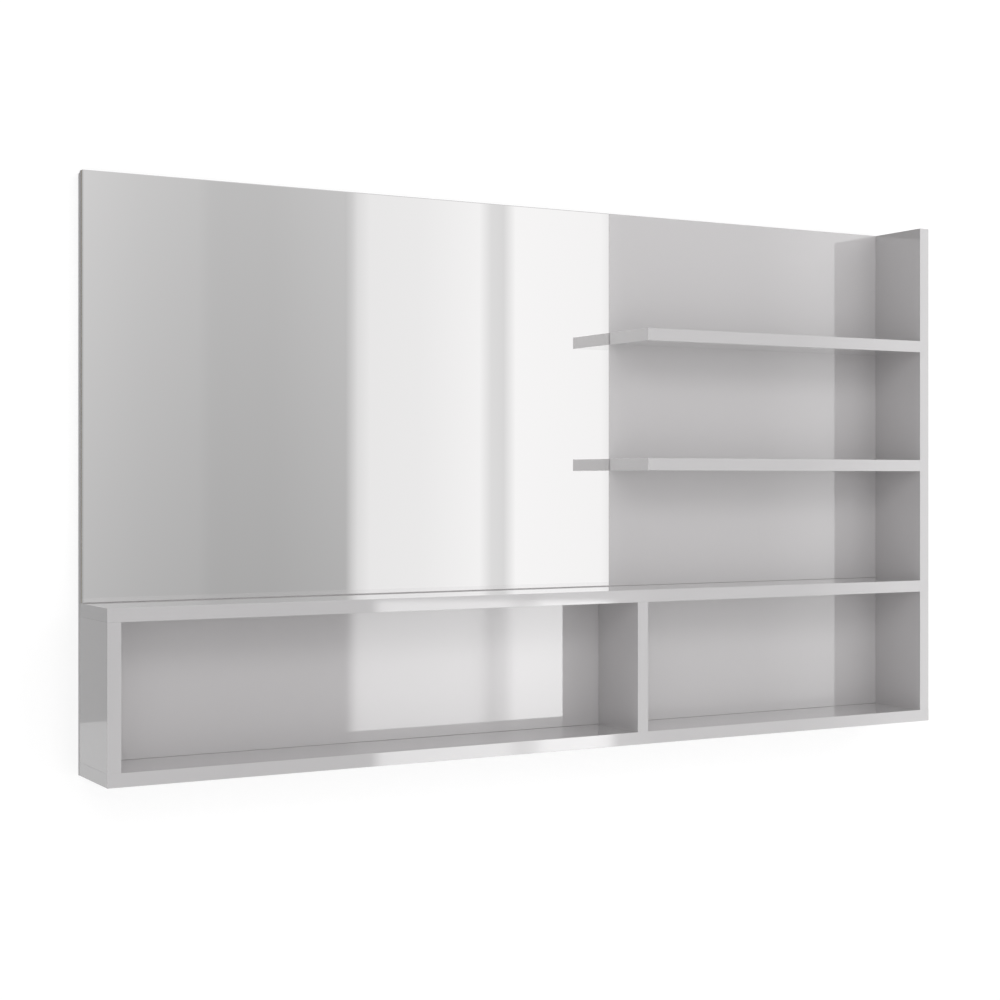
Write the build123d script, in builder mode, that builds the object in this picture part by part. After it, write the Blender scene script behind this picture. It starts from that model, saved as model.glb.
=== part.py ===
from build123d import *
import os

# Wall mirror with a long open box below it and two short shelves beside it.
# X runs along the wall, Y runs into the wall and Z is up. The origin is the
# middle of the rear face, on the wall. All lengths are in millimetres.

os.makedirs("parts", exist_ok=True)

# Overall sizes
width = 1200
height = 700
depth = 110

# Thicknesses
board = 16               # frame boards, divider and shelves
rear_thick = 6           # rear panel behind everything
back_thick = 10          # back boards in the box and behind the shelves
band = 1                 # strips glued on the boards' visible edges
band_ease = 0.3          # rounding of a strip's two long outer edges
rear_corner = 4          # rounding of the rear panel's two top corners
panel_ease = 0.4         # chamfer round the rear panel and the fronts of what lies against it

# Box and shelves
box_height = 200         # underside of the box to the top of the long board
long_bay = 688           # clear width of the box's left compartment
lower_bay = 155          # clear height between the long board and the lower shelf
middle_bay = 153         # clear height between the two shelves

# Mirror
carrier_thick = 6
tape_thick = 1
tape_width = 20
tape_count = 6
tape_margin = 40         # tape's distance from the glass's edges
glass_thick = 4
arris = 1                # chamfer round the front of the glass

# Glued dowels
dowel_radius = 4
dowel_length = 30
dowel_in_face = 10       # length sunk in the face of the board that is met
dowel_clear = 0.1        # radial room in the hole
dowel_end_gap = 1        # room for glue past each end
dowel_chamfer = 1
dowel_from_front = 30
dowel_pitch = 40

# Screws from behind, all countersunk at 90 degrees
frame_screw_radius = 1.75
frame_screw_length = 30
shelf_screw_radius = 2
shelf_screw_length = 45
panel_screw_radius = 1.5
panel_screw_length = 14
short_screw_length = 10
head_to_shank = 2        # head radius over shank radius
screw_clear = 0.1        # radial room round shank and head
countersink_angle = 90
recess_long = 1.3        # cross recess's length, width and depth over the head's radius
recess_wide = 0.3
recess_deep = 0.33
row_count = 6            # screws along the bottom board and along the long board
shelf_row_count = 3      # screws along a short shelf
carrier_grid = (4, 3)    # columns and rows of screws in the mirror's carrier
upper_back_grid = (2, 4)
lower_back_grid = (3, 2)
row_margin = 50          # a screw row's distance from the ends of a frame board
panel_margin = 40        # a screw row's distance from the edges of a back board
shelf_margin = 70        # a screw row's distance from the ends of a shelf

# Hanger plates let into the rear panel
plate_width = 36
plate_height = 60
plate_thick = 2
plate_corner = 3
plate_clear = 0.3        # room round a plate in its recess
plate_screw_margin = 6
keyhole_radius = 5       # round entry for the wall screw's head
keyhole_slot = 5         # width of the slot for its shank
keyhole_drop = 11        # entry's centre up to the slot's end centre
head_room = 14           # width of the hollow behind a keyhole
keyhole_depth = 8.5      # hollow's floor, from the wall
hanger_from_side = 100   # keyhole entry's distance from the object's nearer end
hanger_from_top = 60

# Places that follow from the sizes
left, right = -width / 2, width / 2
bottom, top = -height / 2, height / 2
front = -depth
core_front = front + band
boards_back = -rear_thick
backs_front = boards_back - back_thick
carrier_front = boards_back - carrier_thick
glass_back = carrier_front - tape_thick
floor_top = bottom + board
box_top = bottom + box_height
box_under = box_top - board
side_inner = left + board
divider_left = side_inner + long_bay
divider_right = divider_left + board
right_inner = right - board
lower_shelf_under = box_top + lower_bay
lower_shelf_top = lower_shelf_under + board
upper_shelf_under = lower_shelf_top + middle_bay
upper_shelf_top = upper_shelf_under + board

# Middles of the boards
left_mid = left + board / 2
divider_mid = divider_left + board / 2
right_mid = right - board / 2
bottom_mid = bottom + board / 2
long_mid = box_top - board / 2
lower_shelf_mid = lower_shelf_under + board / 2
upper_shelf_mid = upper_shelf_under + board / 2
box_mid = (floor_top + box_under) / 2
core_mid = (core_front + boards_back) / 2
core_depth = boards_back - core_front
shelf_mid = (core_front + backs_front) / 2
shelf_core_depth = backs_front - core_front

# Directions
TO_WALL = (0, 1, 0)
TO_FRONT = (0, -1, 0)
TO_LEFT = (-1, 0, 0)
TO_RIGHT = (1, 0, 0)
UP = (0, 0, 1)
DOWN = (0, 0, -1)


def spread(first, last, count):
    """Evenly spaced values from first to last, both included."""
    return [first + (last - first) * i / (count - 1) for i in range(count)]


def spots(points, outward):
    """Work planes at the given points, all facing outward."""
    return [Plane(origin=point, z_dir=outward) for point in points]


def dowel_pair(x, z):
    """The two dowel points of a joint; every joint has them at the same two depths."""
    return [(x, front + dowel_from_front + step, z) for step in (0, dowel_pitch)]


# Dowel joints, named after the board that stands or ends there
left_foot = dowel_pair(left_mid, floor_top)
left_head = dowel_pair(left_mid, box_under)
divider_foot = dowel_pair(divider_mid, floor_top)
divider_head = dowel_pair(divider_mid, box_under)
right_foot = dowel_pair(right_mid, floor_top)
long_board_end = dowel_pair(right_inner, long_mid)
lower_shelf_end = dowel_pair(right_inner, lower_shelf_mid)
upper_shelf_end = dowel_pair(right_inner, upper_shelf_mid)
dowel_in_edge = dowel_length - dowel_in_face

# Screws through the rear panel, as X and Z on the wall plane
box_screw_zs = [floor_top + row_margin, box_under - row_margin]
bay_mids = [
    (box_top + lower_shelf_under) / 2,
    (lower_shelf_top + upper_shelf_under) / 2,
    (upper_shelf_top + top) / 2,
]
bottom_screw_xs = spread(left + row_margin, right - row_margin, row_count)
long_board_screw_xs = spread(left + row_margin, right_inner - row_margin, row_count)
bottom_screws_at = [(x, bottom_mid) for x in bottom_screw_xs]
long_board_screws_at = [(x, long_mid) for x in long_board_screw_xs]
left_side_screws_at = [(left_mid, z) for z in box_screw_zs]
divider_screws_at = [(divider_mid, z) for z in box_screw_zs]
right_side_screws_at = [(right_mid, z) for z in box_screw_zs + bay_mids]
frame_screws_at = (
    bottom_screws_at
    + long_board_screws_at
    + left_side_screws_at
    + divider_screws_at
    + right_side_screws_at
)
shelf_screw_xs = spread(
    divider_right + shelf_margin, right_inner - shelf_margin, shelf_row_count
)
lower_shelf_screws_at = [(x, lower_shelf_mid) for x in shelf_screw_xs]
upper_shelf_screws_at = [(x, upper_shelf_mid) for x in shelf_screw_xs]
shelf_screws_at = lower_shelf_screws_at + upper_shelf_screws_at
frame_screw_sunk = frame_screw_length - rear_thick
shelf_screw_sunk = shelf_screw_length - rear_thick - back_thick
short_screw_sunk = short_screw_length - rear_thick


def screw_grid(x_range, z_range, grid):
    """Screw points in columns and rows inside a back board's outline."""
    xs = spread(x_range[0] + panel_margin, x_range[1] - panel_margin, grid[0])
    zs = spread(z_range[0] + panel_margin, z_range[1] - panel_margin, grid[1])
    return [(x, z) for x in xs for z in zs]


# Outlines of what fills the rear panel's front, each as an X and a Z range
carrier_x, carrier_z = (left, divider_right), (box_top, top)
upper_back_x, upper_back_z = (divider_right, right_inner), (box_top, top)
lower_left_x, lower_left_z = (side_inner, divider_left), (floor_top, box_under)
lower_right_x, lower_right_z = (divider_right, right_inner), (floor_top, box_under)
carrier_screws_at = screw_grid(carrier_x, carrier_z, carrier_grid)
upper_back_screws_at = screw_grid(upper_back_x, upper_back_z, upper_back_grid)
lower_left_screws_at = screw_grid(lower_left_x, lower_left_z, lower_back_grid)
lower_right_screws_at = screw_grid(lower_right_x, lower_right_z, lower_back_grid)
back_board_screws_at = upper_back_screws_at + lower_left_screws_at + lower_right_screws_at

# Keyhole entries of the four hanger plates
hangers_at = {
    "upper_left": (left + hanger_from_side, top - hanger_from_top),
    "upper_right": (right - hanger_from_side, top - hanger_from_top),
    "lower_left": (left + hanger_from_side, box_mid),
    "lower_right": (right - hanger_from_side, box_mid),
}


def plate_centre(entry):
    """Middle of the hanger plate whose keyhole entry is at this point."""
    return (entry[0], entry[1] + keyhole_drop / 2)


def plate_screws(entry):
    """The four screw points of one hanger plate."""
    x, z = plate_centre(entry)
    across = plate_width / 2 - plate_screw_margin
    along = plate_height / 2 - plate_screw_margin
    return [(x + i * across, z + j * along) for i in (-1, 1) for j in (-1, 1)]


def dowel_holes(points, outward, sunk):
    """Blind dowel holes in the board being built."""
    with Locations(*spots(points, outward)):
        Hole(dowel_radius + dowel_clear, sunk + dowel_end_gap)


def screw_holes(points, plane_y, radius, deep):
    """Blind screw holes from behind, in the board being built."""
    with Locations(*spots([(x, plane_y, z) for x, z in points], TO_WALL)):
        Hole(radius + screw_clear, deep)


def countersunk_holes(points, radius):
    """Through holes from behind with a seat for the head, in the panel being built."""
    with Locations(*spots([(x, 0, z) for x, z in points], TO_WALL)):
        CounterSinkHole(
            radius + screw_clear,
            head_to_shank * radius + screw_clear,
            counter_sink_angle=countersink_angle,
        )


def hollow_outlines(entries, plane_y):
    """Outlines, at plane_y, of the room for the wall screws' heads behind the keyholes."""
    with BuildSketch(Plane.XZ.offset(-plane_y)) as outlines:
        with Locations(*[plate_centre(entry) for entry in entries]):
            SlotCenterToCenter(keyhole_drop, head_room, rotation=90)
    return outlines.sketch


def inside(entries, x_range, z_range):
    """The points that lie inside an outline."""
    return [
        (x, z)
        for x, z in entries
        if x_range[0] < x < x_range[1] and z_range[0] < z < z_range[1]
    ]


# Bottom board, under both side panels
with BuildPart() as bottom_board:
    with BuildSketch(Plane.XY.offset(bottom)):
        with Locations((0, core_mid)):
            Rectangle(width - 2 * band, core_depth)
    extrude(amount=board)
    dowel_holes(left_foot + divider_foot + right_foot, UP, dowel_in_face)
    screw_holes(bottom_screws_at, boards_back, frame_screw_radius, frame_screw_sunk)
bottom_board.part.label = "bottom_board"
export_step(bottom_board.part, "parts/bottom_board.step")

# Long board over the box, from the left end to the right side panel
with BuildPart() as long_board:
    with BuildSketch(Plane.XY.offset(box_under)):
        with Locations(((left + band + right_inner) / 2, core_mid)):
            Rectangle(right_inner - left - band, core_depth)
    extrude(amount=board)
    dowel_holes(left_head + divider_head, DOWN, dowel_in_face)
    dowel_holes(long_board_end, TO_RIGHT, dowel_in_edge)
    screw_holes(long_board_screws_at, boards_back, frame_screw_radius, frame_screw_sunk)
long_board.part.label = "long_board"
export_step(long_board.part, "parts/long_board.step")


def box_upright(label, face_x, foot, head, screws_at):
    """A panel between the bottom board and the long board, with its left face at face_x."""
    with BuildPart() as upright:
        with BuildSketch(Plane.YZ.offset(face_x)):
            with Locations((core_mid, box_mid)):
                Rectangle(core_depth, box_under - floor_top)
        extrude(amount=board)
        dowel_holes(foot, DOWN, dowel_in_edge)
        dowel_holes(head, UP, dowel_in_edge)
        screw_holes(screws_at, boards_back, frame_screw_radius, frame_screw_sunk)
    upright.part.label = label
    export_step(upright.part, f"parts/{label}.step")


box_upright("left_side_panel", left, left_foot, left_head, left_side_screws_at)
box_upright("divider_panel", divider_left, divider_foot, divider_head, divider_screws_at)

# Full-height right side panel, standing on the bottom board
with BuildPart() as right_side_panel:
    with BuildSketch(Plane.YZ.offset(right_inner)):
        with Locations((core_mid, (floor_top + top - band) / 2)):
            Rectangle(core_depth, top - band - floor_top)
    extrude(amount=board)
    dowel_holes(right_foot, DOWN, dowel_in_edge)
    dowel_holes(long_board_end + lower_shelf_end + upper_shelf_end, TO_LEFT, dowel_in_face)
    screw_holes(right_side_screws_at, boards_back, frame_screw_radius, frame_screw_sunk)
right_side_panel.part.label = "right_side_panel"
export_step(right_side_panel.part, "parts/right_side_panel.step")


def short_shelf(label, under, dowels_at, screws_at):
    """A shelf from the mirror's right edge to the right side panel."""
    with BuildPart() as shelf:
        with BuildSketch(Plane.XY.offset(under)):
            with Locations(((divider_right + band + right_inner) / 2, shelf_mid)):
                Rectangle(right_inner - divider_right - band, shelf_core_depth)
        extrude(amount=board)
        dowel_holes(dowels_at, TO_RIGHT, dowel_in_edge)
        screw_holes(screws_at, backs_front, shelf_screw_radius, shelf_screw_sunk)
    shelf.part.label = label
    export_step(shelf.part, f"parts/{label}.step")


short_shelf("lower_shelf", lower_shelf_under, lower_shelf_end, lower_shelf_screws_at)
short_shelf("upper_shelf", upper_shelf_under, upper_shelf_end, upper_shelf_screws_at)

# Rear panel over the whole width and height
with BuildPart() as rear_panel:
    with BuildSketch(Plane.XZ) as rear_outline:
        Rectangle(width, height)
        fillet(rear_outline.vertices().group_by(Axis.Y)[-1], rear_corner)
    extrude(amount=rear_thick)
    rear_faces = rear_panel.faces().filter_by(Axis.Y)
    chamfer(rear_faces.edges(), panel_ease)
    with BuildSketch(Plane.XZ):
        with Locations(*[plate_centre(entry) for entry in hangers_at.values()]):
            RectangleRounded(
                plate_width + 2 * plate_clear,
                plate_height + 2 * plate_clear,
                plate_corner + plate_clear,
            )
    extrude(amount=plate_thick, mode=Mode.SUBTRACT)
    extrude(hollow_outlines(hangers_at.values(), 0), amount=rear_thick, mode=Mode.SUBTRACT)
    countersunk_holes(frame_screws_at, frame_screw_radius)
    countersunk_holes(shelf_screws_at, shelf_screw_radius)
    countersunk_holes(back_board_screws_at + carrier_screws_at, panel_screw_radius)
    for entry in hangers_at.values():
        screw_holes(plate_screws(entry), 0, panel_screw_radius, rear_thick)
rear_panel.part.label = "rear_panel"
export_step(rear_panel.part, "parts/rear_panel.step")


def backing(label, x_range, z_range, thick, screws_at, screw_length, through_at=()):
    """A flat piece fixed to the front of the rear panel; through_at lets shelf screws pass."""
    entries = inside(hangers_at.values(), x_range, z_range)
    with BuildPart() as piece:
        with BuildSketch(Plane.XZ.offset(rear_thick)):
            with Locations((sum(x_range) / 2, sum(z_range) / 2)):
                Rectangle(x_range[1] - x_range[0], z_range[1] - z_range[0])
        extrude(amount=thick)
        chamfer(piece.faces().sort_by(Axis.Y)[0].edges(), panel_ease)
        extrude(
            hollow_outlines(entries, boards_back),
            amount=keyhole_depth - rear_thick,
            mode=Mode.SUBTRACT,
        )
        screw_holes(screws_at, boards_back, panel_screw_radius, screw_length - rear_thick)
        for entry in entries:
            screw_holes(plate_screws(entry), boards_back, panel_screw_radius, short_screw_sunk)
        if through_at:
            screw_holes(through_at, boards_back, shelf_screw_radius, thick)
    piece.part.label = label
    export_step(piece.part, f"parts/{label}.step")


backing("mirror_carrier", carrier_x, carrier_z, carrier_thick, carrier_screws_at, short_screw_length)
backing(
    "upper_back_board",
    upper_back_x,
    upper_back_z,
    back_thick,
    upper_back_screws_at,
    panel_screw_length,
    through_at=shelf_screws_at,
)
backing(
    "lower_left_back_board",
    lower_left_x,
    lower_left_z,
    back_thick,
    lower_left_screws_at,
    panel_screw_length,
)
backing(
    "lower_right_back_board",
    lower_right_x,
    lower_right_z,
    back_thick,
    lower_right_screws_at,
    panel_screw_length,
)

# Mirror glass, standing on the long board
glass_width = divider_right - left
glass_height = top - box_top
glass_centre = ((left + divider_right) / 2, (box_top + top) / 2)
with BuildPart() as mirror_glass:
    with BuildSketch(Plane.XZ.offset(-glass_back)):
        with Locations(glass_centre):
            Rectangle(glass_width, glass_height)
    extrude(amount=glass_thick)
    chamfer(mirror_glass.faces().sort_by(Axis.Y)[0].edges(), arris)
mirror_glass.part.label = "mirror_glass"
export_step(mirror_glass.part, "parts/mirror_glass.step")

# Strips of double-sided tape that hold the glass to its carrier
tape_pitch = (glass_width - 2 * tape_margin - tape_width) / (tape_count - 1)
with BuildPart() as mirror_tape:
    with BuildSketch(Plane.XZ.offset(-carrier_front)):
        with Locations(glass_centre):
            with GridLocations(tape_pitch, 0, tape_count, 1):
                Rectangle(tape_width, glass_height - 2 * tape_margin)
    extrude(amount=tape_thick)
mirror_tape.part.label = "mirror_tape"
export_step(mirror_tape.part, "parts/mirror_tape.step")


def edge_band(label, centre, outward, along, length):
    """A strip glued on one edge of a board, with its two long outer edges eased."""
    with BuildPart() as strip:
        with BuildSketch(Plane(origin=centre, x_dir=along, z_dir=outward)):
            Rectangle(length, board)
        extrude(amount=band)
        outer_face = strip.faces().sort_by(Axis(centre, outward))[-1]
        fillet(outer_face.edges().filter_by(Axis(centre, along)), band_ease)
    strip.part.label = label
    export_step(strip.part, f"parts/{label}.step")


def end_band(label, centre, outward, length):
    """A strip on the left, right or top end of a board, behind its front strip."""
    edge_band(label, centre, outward, TO_WALL, length)


# Front strips
edge_band("bottom_board_front_band", (0, core_front, bottom_mid), TO_FRONT, TO_RIGHT, width)
edge_band(
    "long_board_front_band",
    ((left + right_inner) / 2, core_front, long_mid),
    TO_FRONT,
    TO_RIGHT,
    right_inner - left,
)
for upright_name, upright_x in (("left_side", left_mid), ("divider", divider_mid)):
    edge_band(
        f"{upright_name}_front_band",
        (upright_x, core_front, box_mid),
        TO_FRONT,
        UP,
        box_under - floor_top,
    )
edge_band(
    "right_side_front_band",
    (right_mid, core_front, (floor_top + top) / 2),
    TO_FRONT,
    UP,
    top - floor_top,
)
for shelf_name, shelf_z in (("lower_shelf", lower_shelf_mid), ("upper_shelf", upper_shelf_mid)):
    edge_band(
        f"{shelf_name}_front_band",
        ((divider_right + right_inner) / 2, core_front, shelf_z),
        TO_FRONT,
        TO_RIGHT,
        right_inner - divider_right,
    )
    end_band(
        f"{shelf_name}_end_band",
        (divider_right + band, shelf_mid, shelf_z),
        TO_LEFT,
        shelf_core_depth,
    )

# End strips
end_band("bottom_board_left_band", (left + band, core_mid, bottom_mid), TO_LEFT, core_depth)
end_band("bottom_board_right_band", (right - band, core_mid, bottom_mid), TO_RIGHT, core_depth)
end_band("long_board_left_band", (left + band, core_mid, long_mid), TO_LEFT, core_depth)
end_band("right_side_top_band", (right_mid, core_mid, top - band), UP, core_depth)

# One fluteless dowel, standing on a joint plane
with BuildPart() as one_dowel:
    with BuildSketch(Plane.XY.offset(-dowel_in_face)):
        Circle(dowel_radius)
    extrude(amount=dowel_length)
    chamfer(one_dowel.edges().filter_by(GeomType.CIRCLE), dowel_chamfer)


def dowel_set(label, groups):
    """Dowels of one group of joints; each group has its points and its direction."""
    with BuildPart() as dowels:
        for points, outward in groups:
            with Locations(*spots(points, outward)):
                add(one_dowel.part)
    dowels.part.label = label
    export_step(dowels.part, f"parts/{label}.step")


dowel_set("bottom_board_dowels", [(left_foot + divider_foot + right_foot, UP)])
dowel_set("long_board_dowels", [(left_head + divider_head, DOWN), (long_board_end, TO_LEFT)])
dowel_set("shelf_dowels", [(lower_shelf_end + upper_shelf_end, TO_LEFT)])


def screw_set(label, points, radius, length):
    """Countersunk screws driven in from behind, their heads flush with the wall plane."""
    head = head_to_shank * radius
    tip_start = 2 * head - length
    with BuildPart() as one_screw:
        with BuildSketch(Plane.XZ):
            with BuildLine():
                Polyline(
                    (0, 0),
                    (head, 0),
                    (radius, radius - head),
                    (radius, tip_start),
                    (0, -length),
                    close=True,
                )
            make_face()
        revolve(axis=Axis.Z)
        with BuildSketch(Plane.XY):
            Rectangle(recess_long * head, recess_wide * head)
            Rectangle(recess_wide * head, recess_long * head)
        extrude(amount=-recess_deep * head, mode=Mode.SUBTRACT)
    with BuildPart() as screws:
        with Locations(*spots([(x, 0, z) for x, z in points], TO_WALL)):
            add(one_screw.part)
    screws.part.label = label
    export_step(screws.part, f"parts/{label}.step")


hanger_screws_at = [point for entry in hangers_at.values() for point in plate_screws(entry)]
screw_set("frame_screws", frame_screws_at, frame_screw_radius, frame_screw_length)
screw_set("shelf_screws", shelf_screws_at, shelf_screw_radius, shelf_screw_length)
screw_set("back_board_screws", back_board_screws_at, panel_screw_radius, panel_screw_length)
screw_set("carrier_screws", carrier_screws_at, panel_screw_radius, short_screw_length)
screw_set("hanger_screws", hanger_screws_at, panel_screw_radius, short_screw_length)

# Keyhole plates, flush with the rear face
for place, entry in hangers_at.items():
    with BuildPart() as hanger_plate:
        with BuildSketch(Plane.XZ):
            with Locations(plate_centre(entry)):
                RectangleRounded(plate_width, plate_height, plate_corner)
                SlotCenterToCenter(keyhole_drop, keyhole_slot, rotation=90, mode=Mode.SUBTRACT)
            with Locations(entry):
                Circle(keyhole_radius, mode=Mode.SUBTRACT)
        extrude(amount=plate_thick)
        countersunk_holes(plate_screws(entry), panel_screw_radius)
    hanger_plate.part.label = f"hanger_plate_{place}"
    export_step(hanger_plate.part, f"parts/hanger_plate_{place}.step")
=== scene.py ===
"""Finishes, fixings and studio for a wall mirror with a long open box and two short shelves.
All lengths are in metres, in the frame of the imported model."""
import math

import bmesh
import bpy
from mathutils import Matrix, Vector
from mathutils.geometry import tessellate_polygon


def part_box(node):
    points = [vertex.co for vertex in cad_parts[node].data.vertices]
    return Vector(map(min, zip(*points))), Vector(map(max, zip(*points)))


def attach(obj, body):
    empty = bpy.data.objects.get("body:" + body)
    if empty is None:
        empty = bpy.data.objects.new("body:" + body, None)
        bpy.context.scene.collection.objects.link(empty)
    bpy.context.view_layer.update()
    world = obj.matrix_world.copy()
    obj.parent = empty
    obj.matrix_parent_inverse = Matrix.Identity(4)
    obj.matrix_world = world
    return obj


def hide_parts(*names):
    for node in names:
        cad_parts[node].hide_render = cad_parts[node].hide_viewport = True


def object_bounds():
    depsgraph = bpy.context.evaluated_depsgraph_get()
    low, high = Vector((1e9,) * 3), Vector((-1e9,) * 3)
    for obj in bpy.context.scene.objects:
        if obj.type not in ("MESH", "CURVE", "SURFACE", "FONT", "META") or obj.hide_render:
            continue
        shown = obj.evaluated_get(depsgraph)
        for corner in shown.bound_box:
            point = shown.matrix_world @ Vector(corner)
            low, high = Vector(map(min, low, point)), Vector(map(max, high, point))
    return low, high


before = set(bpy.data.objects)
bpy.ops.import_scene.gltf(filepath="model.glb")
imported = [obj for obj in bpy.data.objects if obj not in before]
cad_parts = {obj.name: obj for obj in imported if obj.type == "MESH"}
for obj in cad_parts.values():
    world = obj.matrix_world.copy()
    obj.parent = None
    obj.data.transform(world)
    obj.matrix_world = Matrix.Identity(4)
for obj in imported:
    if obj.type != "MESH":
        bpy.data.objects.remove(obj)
cad_low, cad_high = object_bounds()

bl_info = {
    "name": "Wall mirror with shelves",
    "version": (1, 0, 0),
    "blender": (4, 5, 0),
    "location": "3D View > Sidebar > Mirror",
    "description": "Finishes and fixings of a wall mirror with a box and shelves, and its studio",
    "category": "Object",
}

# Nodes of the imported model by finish
BOARDS = (
    "bottom_board",
    "long_board",
    "left_side_panel",
    "right_side_panel",
    "divider_panel",
    "lower_shelf",
    "upper_shelf",
)
BACK_BOARDS = ("upper_back_board", "lower_left_back_board", "lower_right_back_board")
SCREW_NODES = (
    "frame_screws",
    "shelf_screws",
    "back_board_screws",
    "carrier_screws",
    "hanger_screws",
)
DOWEL_NODES = ("bottom_board_dowels", "long_board_dowels", "shelf_dowels")
HANGER_PLATES = tuple(
    f"hanger_plate_{place}" for place in ("upper_left", "upper_right", "lower_left", "lower_right")
)

FRONT = Vector((0, -1, 0))
WALLWARD = Vector((0, 1, 0))
LEFT = Vector((-1, 0, 0))
RIGHT = Vector((1, 0, 0))
UP = Vector((0, 0, 1))

# Edge strips by the plane that they are glued on: a name, the way they face and their nodes
BANDS = (
    ("front", FRONT, tuple(f"{board.removesuffix('_panel')}_front_band" for board in BOARDS)),
    ("right_end", RIGHT, ("bottom_board_right_band",)),
    ("top_end", UP, ("right_side_top_band",)),
    ("box_left_end", LEFT, ("bottom_board_left_band", "long_board_left_band")),
    ("shelf_left_end", LEFT, ("lower_shelf_end_band", "upper_shelf_end_band")),
)


# Node helpers

def feed(tree, inputs, values):
    """Gives inputs their values, or the sockets that feed them."""
    for key, value in values.items():
        if isinstance(value, bpy.types.NodeSocket):
            tree.links.new(value, inputs[key])
        else:
            inputs[key].default_value = value


def put(tree, kind, values=None, **settings):
    """Adds a node, first its settings and then what its inputs get."""
    node = tree.nodes.new(kind)
    for name, value in settings.items():
        setattr(node, name, value)
    feed(tree, node.inputs, values or {})
    return node


def maths(tree, operation, *values, clamp=False):
    """The result of a Math node."""
    settings = {"operation": operation, "use_clamp": clamp}
    return put(tree, "ShaderNodeMath", dict(enumerate(values)), **settings).outputs[0]


def times(tree, first, second, clamp=False):
    """One value times another."""
    return maths(tree, "MULTIPLY", first, second, clamp=clamp)


def vector_maths(tree, operation, *values, result="Vector"):
    """The result of a Vector Math node."""
    node = put(tree, "ShaderNodeVectorMath", dict(enumerate(values)), operation=operation)
    return node.outputs[result]


def between(tree, value, first, last, low=0.0, high=1.0, smooth=True):
    """Takes value from first..last to low..high and holds it there."""
    kind = "SMOOTHSTEP" if smooth else "LINEAR"
    inputs = {"Value": value, "From Min": first, "From Max": last, "To Min": low, "To Max": high}
    return put(tree, "ShaderNodeMapRange", inputs, interpolation_type=kind).outputs["Result"]


def mixed(tree, share, first, second):
    """A colour between two, by share."""
    node = put(tree, "ShaderNodeMix", {0: share, 6: first, 7: second}, data_type="RGBA")
    return node.outputs[2]


def blended(tree, share, first, second):
    """A number between two, by share."""
    node = put(tree, "ShaderNodeMix", {0: share, 2: first, 3: second}, data_type="FLOAT")
    return node.outputs[0]


def place_on_object(tree):
    """Position in the object's own frame, in metres."""
    return put(tree, "ShaderNodeTexCoord").outputs["Object"]


def facing(tree, direction):
    """How far the surface faces a direction in the object's own frame, from -1 to 1."""
    normal = put(tree, "ShaderNodeTexCoord").outputs["Normal"]
    return vector_maths(tree, "DOT_PRODUCT", normal, tuple(direction), result="Value")


def noise(tree, place, scale, detail=2.0, roughness=0.5, distortion=0.0):
    """A noise texture; scale is in features per metre."""
    inputs = {"Vector": place, "Scale": scale, "Detail": detail}
    inputs.update({"Roughness": roughness, "Distortion": distortion})
    return put(tree, "ShaderNodeTexNoise", inputs).outputs["Fac"]


def stretched(tree, place, scale, turn=(0, 0, 0)):
    """A place turned and scaled along each axis, which stretches a texture that uses it."""
    inputs = {"Vector": place, "Rotation": turn, "Scale": scale}
    return put(tree, "ShaderNodeMapping", inputs).outputs["Vector"]


def opaque(colour):
    """A colour with its alpha."""
    return (*colour, 1.0)


def new_group(name, kind, inputs, outputs):
    """An empty node group with named sockets, and its inner ends. An input comes with its
    default, which also says its type, or with a type's name, and an output with a type's name."""
    tree = bpy.data.node_groups.new(name, kind)
    for label, given in inputs.items():
        named = isinstance(given, str)
        socket = given if named else socket_for(given)
        made = tree.interface.new_socket(label, in_out="INPUT", socket_type=f"NodeSocket{socket}")
        if not named:
            made.default_value = given
    for label, socket in outputs.items():
        tree.interface.new_socket(label, in_out="OUTPUT", socket_type=f"NodeSocket{socket}")
    return tree, tree.nodes.new("NodeGroupInput").outputs, tree.nodes.new("NodeGroupOutput").inputs


def socket_for(value):
    """The type of socket that holds a colour with alpha, a vector, an integer or a number."""
    if isinstance(value, tuple):
        return "Color" if len(value) == 4 else "Vector"
    return "Int" if isinstance(value, int) else "Float"


def effect(build):
    """The shader group that build makes, made once."""
    label = build.__name__.replace("_", " ").title()
    return bpy.data.node_groups.get(label) or build(label)


def apply_effect(tree, build, **values):
    """A shared effect's outputs. A value named plane_at goes to the input Plane At."""
    inputs = {word.replace("_", " ").title(): value for word, value in values.items()}
    return put(tree, "ShaderNodeGroup", inputs, node_tree=effect(build)).outputs


# Shared surface effects

GREY = (0.5, 0.5, 0.5, 1.0)
GRAINS_PER_METRE = 900.0


def lacquer_flow(label):
    """Height of the faint ripple and the longer swell that sprayed lacquer dries with."""
    inputs = {"Ripples Per Metre": 420.0, "Swells Per Metre": 16.0, "Swell Share": 0.75}
    tree, given, out = new_group(label, "ShaderNodeTree", inputs, {"Height": "Float"})
    place = place_on_object(tree)
    ripple = noise(tree, place, given["Ripples Per Metre"], detail=1.0)
    swell = noise(tree, place, given["Swells Per Metre"], detail=1.0)
    feed(tree, out, {"Height": blended(tree, given["Swell Share"], ripple, swell)})
    return tree


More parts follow.
